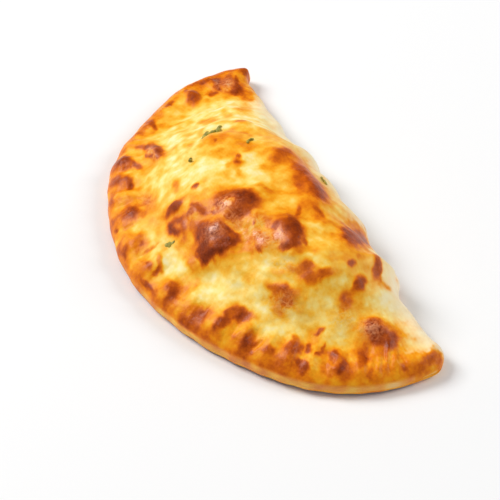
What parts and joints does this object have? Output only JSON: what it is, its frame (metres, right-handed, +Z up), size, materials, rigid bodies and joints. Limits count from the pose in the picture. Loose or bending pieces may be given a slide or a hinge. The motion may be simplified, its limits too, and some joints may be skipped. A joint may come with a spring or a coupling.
{
  "type": "calzone",
  "caption": "Baked chicken calzone, a half-moon turnover of folded dough with a crimped rim, a domed filling, browned blisters and bits of green herb",
  "frame": {"origin": "middle of the flat underside in plan, on the plane it rests on", "axes": "+X along the fold from the upper tip in the picture to the lower right tip, +Y towards the straight fold, the curved crimped rim at -Y, +Z up"},
  "size_m": [0.25, 0.123, 0.0449],
  "materials": {
    "baked_crust": "baked dough with a thin gloss of oil and cheese, cream to golden with dark brown blisters"
  },
  "bodies": {
    "root": {"calzone": "baked_crust"}
  },
  "joints": []
}
